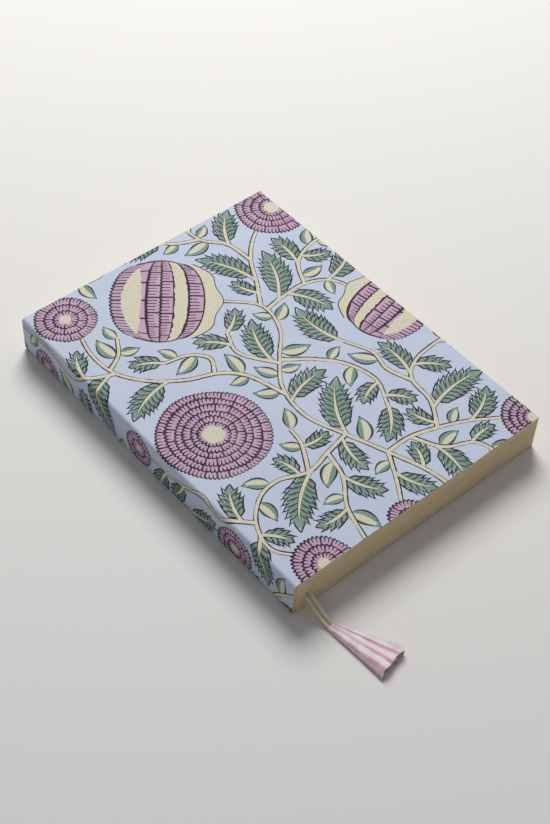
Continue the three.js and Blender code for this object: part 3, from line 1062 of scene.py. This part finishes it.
# %% Face, back and rim
def inked_face(rim, near, lines):
    flat, faces = cut_sheet([rim] + [s for _, s in near], lines, -SHEET_HALF_HEIGHT, SHEET_HALF_HEIGHT)
    middles = flat[faces].mean(axis=1)
    keep = covers(rim, middles)
    faces, middles = faces[keep], middles[keep]
    ink_of = np.full(len(faces), PAPER)
    order = np.argsort(middles[:, 0])
    sorted_u = middles[order, 0]
    for ink, outline in near:
        (left, bottom), (right, top) = outline.min(axis=0), outline.max(axis=0)
        some = order[np.searchsorted(sorted_u, left) : np.searchsorted(sorted_u, right)]
        some = some[(middles[some, 1] > bottom) & (middles[some, 1] < top)]
        if len(some):
            ink_of[some[covers(outline, middles[some])]] = ink
    used, faces = np.unique(faces, return_inverse=True)
    return flat[used], faces.reshape(-1, 3), ink_of


def plain_back(flat, rim_edges, lines):
    rim_points = sorted({k for pair in rim_edges for k in pair})
    number = {k: n for n, k in enumerate(rim_points)}
    edges = [(number[a], number[b]) for a, b in rim_edges]
    for u in lines:
        ends = [number[k] for k in rim_points if abs(flat[k, 0] - u) < 1e-4]
        edges.append((ends[0], ends[-1]))
    back = geometry.delaunay_2d_cdt([Vector(flat[k]) for k in rim_points], edges, [], 1, 1e-5, True)
    back_faces = np.array([tuple(f) for f in back[2]])[:, ::-1]
    return np.array([tuple(p) for p in back[0]]), back_faces, number


def printed_sheet(name, u0, u1, inks):
    v0, v1 = -SHEET_HALF_HEIGHT, SHEET_HALF_HEIGHT
    near = []
    for _, ink, s in shapes:
        if s[:, 0].max() > u0 and s[:, 0].min() < u1 and s[:, 1].max() > v0 and s[:, 1].min() < v1:
            near.append((ink, s))
    lines = [u for u in cross_lines if u0 < u < u1]
    flat, faces, ink_of = inked_face(torn(u0, u1, v0, v1), near, lines)
    pairs = {tuple(p) for p in np.concatenate([faces[:, [0, 1]], faces[:, [1, 2]], faces[:, [2, 0]]])}
    rim_edges = [(a, b) for a, b in pairs if (b, a) not in pairs]
    back_flat, back_faces, number = plain_back(flat, rim_edges, lines)

    front_at, front_out = on_book(flat[:, 0], flat[:, 1])
    back_at, back_out = on_book(back_flat[:, 0], back_flat[:, 1], PRINTED_PAPER)
    count = len(flat)
    rim_faces = [(b, a, count + number[a], count + number[b]) for a, b in rim_edges]
    vertices = np.vstack([front_at, back_at])
    all_faces = [*faces.tolist(), *(back_faces + count).tolist(), *rim_faces]
    mesh = bpy.data.meshes.new(name)
    mesh.from_pydata(vertices.tolist(), [], all_faces)
    for ink in inks:
        mesh.materials.append(ink)
    slots = np.concatenate([ink_of, np.full(len(back_faces) + len(rim_faces), len(inks) - 1)])
    mesh.polygons.foreach_set("material_index", slots.astype(np.int32))
    corners = np.zeros(len(mesh.loops), np.int32)
    mesh.loops.foreach_get("vertex_index", corners)
    sheet_flat = np.vstack([flat, back_flat])
    uv = mesh.uv_layers.new(name="place")
    uv.data.foreach_set("uv", (sheet_flat[corners] * MM).ravel())
    facing = np.vstack([front_out, -back_out])[corners]
    start = 3 * (len(faces) + len(back_faces))
    for k, face in enumerate(rim_faces):
        a, b, c = (vertices[face[j]] for j in (0, 1, 2))
        facing[start + 4 * k : start + 4 * k + 4] = np.cross(b - a, c - b)
    facing /= np.linalg.norm(facing, axis=1)[:, None]
    mesh.shade_smooth()
    mesh.normals_split_custom_set(facing.tolist())
    print(f"{name}: {len(near)} shapes, {len(all_faces)} faces")
    return linked(name, mesh)


# %% [markdown]
# Paper and inks. Handmade paper is uneven: its fibres give a soft relief, and an ink lies thinner here and
# there. The same paint serves every ink, with its own colour. The cream ink is speckled, as a worn block
# prints it. The texture is placed by the sheet's UV map, so it runs on without a break from cover to spine.


# %% Printed paper
def printed_paint(name, colour, thin_colour, thinning, speckle=None):
    paint = Paint(name, 0.78)
    place = paint.sheet_place()
    patches = paint.noise(place, 70.0, 3.0)
    grain = paint.noise(place, 1400.0, 3.0, 0.6)
    worn = paint.plus(paint.times(patches, 0.5), paint.times(grain, 0.5))
    share = paint.times(paint.between(worn, 0.42, 0.68), thinning)
    seen = paint.mix(share, colour, thin_colour)
    if speckle:
        dots = paint.between(paint.noise(place, 1150.0, 2.0), 0.57, 0.66)
        seen = paint.mix(paint.times(dots, 0.75), seen, speckle)
    paint.colour(seen)
    fibres = paint.noise(paint.stretched(place, (1500, 620, 1), (0, 0, 0.6)), 1.0, 4.0, 0.6)
    paint.relief(fibres, 0.035 * MM, 0.7)
    paint.shader.inputs["Specular IOR Level"].default_value = 0.3
    return paint.material


def card_paint():
    paint = Paint("cover card", 0.9)
    place = paint.place()
    layers = paint.noise(paint.stretched(place, (300, 300, 9000)), 1.0, 3.0)
    flecks = paint.noise(place, 2600.0, 2.0)
    tone = paint.mix(paint.between(layers, 0.3, 0.7), rgb(214, 196, 158), rgb(188, 166, 124))
    paint.colour(paint.mix(paint.between(flecks, 0.62, 0.72), tone, rgb(150, 128, 96)))
    paint.relief(layers, 0.05 * MM, 0.6)
    return paint.material


ground = rgb(190, 200, 219)
bare_paper = rgb(205, 211, 222)
ink_finishes = [
    printed_paint("printed ground", ground, bare_paper, 0.35),
    printed_paint("pink ink", rgb(189, 156, 181), rgb(200, 178, 196), 0.7),
    printed_paint("plum ink", rgb(50, 28, 46), rgb(84, 58, 80), 0.5),
    printed_paint("cream ink", rgb(213, 206, 182), rgb(205, 205, 198), 0.5, rgb(176, 170, 132)),
    printed_paint("green ink", rgb(121, 148, 133), rgb(146, 169, 158), 0.75),
    printed_paint("dark ink", rgb(31, 33, 43), rgb(58, 64, 78), 0.45),
    printed_paint("paper edge", rgb(222, 218, 204), rgb(206, 198, 178), 0.5),
]
SEAM = 0.004
front_print = printed_sheet("printed_paper_front", HINGE_LINE + SEAM, SHEET_HALF_WIDTH, ink_finishes)
spine_print = printed_sheet("printed_paper_spine", -HINGE_LINE, HINGE_LINE, ink_finishes)
back_print = printed_sheet("printed_paper_back", -SHEET_HALF_WIDTH, -HINGE_LINE - SEAM, ink_finishes)

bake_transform(spine_print)
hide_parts("back_spine_print", "front_spine_print")
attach(front_print, "front_cover")
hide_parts("front_cover_print")
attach(back_print, "back_cover")
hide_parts("back_cover_print")

# %% [markdown]
# Card, end papers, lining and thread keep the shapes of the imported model, which are right as they are: flat
# sheets and straight strands. They only need their materials. The card's cut edge shows between the printed
# paper and the leaves, and has fine layers.


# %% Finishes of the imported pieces
def plain_paper_paint(name, colour, shade):
    paint = Paint(name, 0.88)
    place = paint.place()
    clouds = paint.noise(place, 90.0, 4.0)
    paint.colour(paint.mix(paint.between(clouds, 0.35, 0.7), colour, shade))
    paint.relief(paint.noise(place, 1800.0, 3.0), 0.02 * MM, 0.5)
    return paint.material


def woven_paint(name, colour, shade, pitch):
    paint = Paint(name, 0.9)
    place = paint.place()
    per_pitch = math.pi / pitch / 10
    weave = paint.times(paint.threads(place, per_pitch, "Y"), paint.threads(place, per_pitch, "Z"))
    # Where the weave is low, between the threads, the shade colour is painted shade in the weave's hollows.
    paint.colour(paint.mix(weave, shade, colour))
    paint.relief(weave, 0.08 * MM, 0.8)
    return paint.material


def dress(material, *nodes):
    for node in nodes:
        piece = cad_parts[node]
        piece.data.materials.clear()
        piece.data.materials.append(material)


card_finish = card_paint()
endpaper_finish = plain_paper_paint("end paper", rgb(239, 232, 214), rgb(235, 227, 207))
lining_finish = woven_paint("spine lining", rgb(226, 216, 190), rgb(186, 172, 140), 0.6 * MM)
thread_finish = woven_paint("linen thread", rgb(236, 228, 206), rgb(196, 182, 150), 0.3 * MM)
dress(card_finish, "front_cover_card", "back_cover_card", "front_spine_card", "back_spine_card")
dress(endpaper_finish, "front_pastedown", "back_pastedown", "front_flyleaf", "back_flyleaf")
dress(lining_finish, "front_spine_lining", "back_spine_lining")
dress(thread_finish, *[f"{half}_sewing_{k}" for half in ("front", "back") for k in (1, 2, 3, 4)])

# %% [markdown]
# Sewn sections. A section is seven sheets folded once, one inside the other, which makes fourteen leaves.
# Each folded sheet is a U in section, drawn from the profile of its fold and carried from the tail to the
# head. The knife that trims a block leaves each leaf a hair longer or shorter than the next, and that is
# what draws the fine lines on the edges, so every sheet gets its own small difference.

# %% Ruled paper
RULE_PITCH = 7.1 * MM
RULE_WIDTH = 0.34 * MM
HEAD_MARGIN = 16 * MM
TAIL_MARGIN = 9 * MM
CUT_MARGIN = 1.2 * MM


def ruled_paint():
    """Cream paper with ruled lines, which the page's own UV map places."""
    paint = Paint("ruled paper", 0.9)
    place = paint.sheet_place()
    clouds = paint.noise(place, 110.0, 4.0)
    page = paint.mix(paint.between(clouds, 0.35, 0.7), rgb(240, 230, 205), rgb(237, 226, 198))
    x, y = paint.part(place, "X"), paint.part(place, "Y")
    first_line = HEAD_Y - TAIL_Y - HEAD_MARGIN
    from_line = paint.maths("PINGPONG", paint.maths("SUBTRACT", y, first_line), RULE_PITCH / 2)
    on_line = paint.maths("LESS_THAN", from_line, RULE_WIDTH / 2)
    below_head = paint.maths("LESS_THAN", y, first_line + RULE_WIDTH)
    above_tail = paint.maths("GREATER_THAN", y, TAIL_MARGIN)
    inside_cut = paint.maths("LESS_THAN", x, FORE_EDGE_X - SPINE_X - CUT_MARGIN)
    inked = paint.times(paint.times(on_line, below_head), paint.times(above_tail, inside_cut))
    uneven = paint.between(paint.noise(place, 900.0, 2.0), 0.2, 0.6)
    share = paint.times(paint.times(inked, uneven), 0.9)
    paint.colour(paint.mix(share, page, rgb(122, 138, 160)))
    paint.relief(paint.noise(place, 1900.0, 3.0), 0.018 * MM, 0.5)
    return paint.material


def page_edge_paint():
    """The trimmed edges of the leaves. Each leaf has its own tone, from its height in the block."""
    paint = Paint("leaf edges", 0.92)
    place = paint.place()
    layers = paint.noise(paint.stretched(place, (40, 40, 7000)), 1.0, 2.0)
    stains = paint.noise(place, 160.0, 3.0)
    tone = paint.mix(paint.between(layers, 0.35, 0.65), rgb(234, 214, 174), rgb(208, 181, 134))
    stained = paint.times(paint.between(stains, 0.5, 0.8), 0.4)
    paint.colour(paint.mix(stained, tone, rgb(198, 168, 120)))
    paint.relief(layers, 0.03 * MM, 0.6)
    return paint.material


ruled_finish = ruled_paint()
page_edge_finish = page_edge_paint()
PAGE_SLOTS = (ruled_finish, page_edge_finish)

# %% [markdown]
# A folded sheet starts as its profile: the outer line runs from the fore edge back to the fold, round a
# half circle and out again, and the inner line lies one leaf deeper. The closed profile is one face, and
# extruding it along the book makes the sheet. The flat faces are ruled, and the cut ends are not.
#
# The ribbon holds the two halves of the block apart near the spine. Towards the fore edge nothing does, so
# the leaves of the front half sink there until they press on those below: the lowest sink the furthest, and
# the top one stays.

# %% Sections
SHEETS_PER_SECTION = 7
SECTIONS_PER_HALF = 5
SINGLE_LEAVES = 6
FOLD_ARC_STEPS = 6
TRIM_UNEVEN = 0.09
LEAF_CLEARANCE = 0.008 * MM
trim = np.random.default_rng(23)
BACK_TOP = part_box("back_section_5")[1].z
front_boxes = [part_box(f"front_section_{k + 1}") for k in range(SECTIONS_PER_HALF)]
front_low = min(corners[0].z for corners in front_boxes)
front_top = max(corners[1].z for corners in front_boxes)


def pressed_level(number):
    """Where the underside of a single leaf lies when nothing holds the leaves apart."""
    return BACK_TOP + LEAF_CLEARANCE + (number - 1) * (LEAF_PAPER + LEAF_CLEARANCE)


def sunk_by(z):
    """How far a leaf of the front half has sunk at the fore edge."""
    share = min(1.0, max(0.0, (front_top - z) / (front_top - front_low)))
    return (front_low - pressed_level(SINGLE_LEAVES + 1)) * share


def fold_profile(back_x, middle_z, radius, upper_end, lower_end, upper_sunk, lower_sunk):
    outer, inner = [], []
    for k in range(FOLD_ARC_STEPS + 1):
        turn = math.pi / 2 + math.pi * k / FOLD_ARC_STEPS
        for line, r in ((outer, radius), (inner, radius - LEAF_PAPER)):
            line.append((back_x + r * math.cos(turn), middle_z + r * math.sin(turn)))
    upper, lower = middle_z + radius, middle_z - radius
    return [
        (upper_end, upper - upper_sunk),
        *outer,
        (lower_end, lower - lower_sunk),
        (lower_end, lower - lower_sunk + LEAF_PAPER),
        *inner[::-1],
        (upper_end, upper - upper_sunk - LEAF_PAPER),
    ]


def rule_faces(faces, uv):
    """Rules the flat faces and not the cut ones, and maps every face by its place on the page."""
    for face in faces:
        face.material_index = 0 if abs(face.normal.z) > 0.5 else 1
    map_faces(faces, uv, lambda vertex: (vertex.co.x - SPINE_X, vertex.co.y - TAIL_Y))


def pushed_out(bm, faces, move):
    """Extrudes faces into a solid, and returns the corners of its new side."""
    pushed = bmesh.ops.extrude_face_region(bm, geom=faces, use_keep_orig=True)["geom"]
    moved = [v for v in pushed if isinstance(v, bmesh.types.BMVert)]
    bmesh.ops.translate(bm, verts=moved, vec=move)
    return moved


def add_folded_sheet(bm, uv, profile, tail_y, head_y):
    corners = [bm.verts.new((x, tail_y, z)) for x, z in profile]
    moved = pushed_out(bm, [bm.faces.new(corners)], (0, head_y - tail_y, 0))
    faces = {f for v in corners + moved for f in v.link_faces}
    bmesh.ops.recalc_face_normals(bm, faces=list(faces))
    rule_faces(faces, uv)


def page_block(node, body):
    low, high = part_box(node)
    half = (high.z - low.z) / 2
    middle_z = (low.z + high.z) / 2
    bm = bmesh.new()
    uv = bm.loops.layers.uv.new("place")
    pitch = half / SHEETS_PER_SECTION
    for k in range(SHEETS_PER_SECTION):
        radius = half - k * pitch
        short = trim.uniform(0.0, TRIM_UNEVEN, 4) * MM
        sunk = [sunk_by(z) if body == "front_half" else 0.0 for z in (middle_z + radius, middle_z - radius)]
        profile = fold_profile(low.x + half, middle_z, radius, high.x - short[0], high.x - short[1], *sunk)
        add_folded_sheet(bm, uv, profile, low.y + short[2], high.y - short[3])
    made = add_mesh(node + "_leaves", bm, *PAGE_SLOTS)
    smooth_shaded(made, 35)
    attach(made, body)
    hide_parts(node)


for side in ("back", "front"):
    for k in range(SECTIONS_PER_HALF):
        page_block(f"{side}_section_{k + 1}", f"{side}_half")
print("sections:", 2 * SECTIONS_PER_HALF, "with", SHEETS_PER_SECTION * 2, "leaves each")

# %% [markdown]
# Single leaves at the opening. When the notebook lies open in the middle, a few leaves stand between the
# two halves. The ribbon lies under them near the spine. Beyond it they sink together and close its gap,
# and the highest of them sinks the furthest.

# %% Single leaves
LEAF_COLUMNS, LEAF_ROWS = 40, 8
CLOSING_WIDTH = 40 * MM


def closing(place, number):
    """How far a leaf sinks where the ribbon doesn't hold it up."""
    share = (place.y - TAIL_Y) / (inner_head.y - TAIL_Y)
    edge_x = RIBBON_EXIT.x + (inner_head.x - RIBBON_EXIT.x) * share + RIBBON_WIDTH
    return (place.z - pressed_level(number)) * smooth_step(place.x, edge_x, edge_x + CLOSING_WIDTH)


def single_leaf(number):
    node = f"leaf_{number}"
    low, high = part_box(node)
    short = trim.uniform(0.0, TRIM_UNEVEN, 3) * MM
    bm = bmesh.new()
    uv = bm.loops.layers.uv.new("place")
    bmesh.ops.create_grid(bm, x_segments=LEAF_COLUMNS, y_segments=LEAF_ROWS, size=0.5)
    size = Vector((high.x - short[0] - low.x, high.y - low.y - short[1] - short[2], 1))
    middle = Vector((low.x + size.x / 2, (low.y + short[1] + high.y - short[2]) / 2, low.z))
    bmesh.ops.scale(bm, verts=bm.verts, vec=size)
    bmesh.ops.translate(bm, verts=bm.verts, vec=middle)
    for vertex in bm.verts:
        vertex.co.z -= closing(vertex.co, number)
    pushed_out(bm, list(bm.faces), (0, 0, LEAF_PAPER))
    bmesh.ops.recalc_face_normals(bm, faces=list(bm.faces))
    rule_faces(bm.faces, uv)
    made = add_mesh(node + "_sheet", bm, *PAGE_SLOTS)
    smooth_shaded(made, 60)
    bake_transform(made)
    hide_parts(node)


for k in range(1, SINGLE_LEAVES + 1):
    single_leaf(k)

# %% [markdown]
# Middle fold. The third and the fourth leaf are the two halves of one folded sheet. Its fold reaches in
# through the crease of the spine, close to the line that the notebook opens about.

# %% Middle fold
FOLD_END_STEPS = 8
FOLD_CLEARANCE = 0.05 * MM
FOLD_SHOULDER, FOLD_CHAMFER = 0.08 * MM, 0.02 * MM


def middle_fold():
    under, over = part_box("leaf_3")[0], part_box("leaf_4")[1]
    outer = (over.z - under.z) / 2
    inner = outer - LEAF_PAPER
    edge_x = under.x - SEAM * MM
    end_x = SPINE_X + PRINTED_PAPER + FOLD_CLEARANCE
    steps = np.linspace(inner, -inner, FOLD_END_STEPS + 1)
    shoulder = [(edge_x, outer), (end_x + FOLD_SHOULDER, outer), (end_x + FOLD_CHAMFER, (outer + inner) / 2)]
    profile = [*shoulder, *[(end_x, z) for z in steps], *[(x, -z) for x, z in shoulder[::-1]]]
    profile += [(edge_x, -inner), *[(end_x + LEAF_PAPER, z) for z in steps[::-1]], (edge_x, inner)]
    bm = bmesh.new()
    uv = bm.loops.layers.uv.new("place")
    placed = [(x, OPENING_Z + z) for x, z in profile]
    add_folded_sheet(bm, uv, placed, under.y + FOLD_CLEARANCE, over.y - FOLD_CLEARANCE)
    for face in bm.faces:
        face.material_index = 0
    made = smooth_shaded(add_mesh("middle_fold", bm, ruled_finish), 35)
    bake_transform(made)


middle_fold()
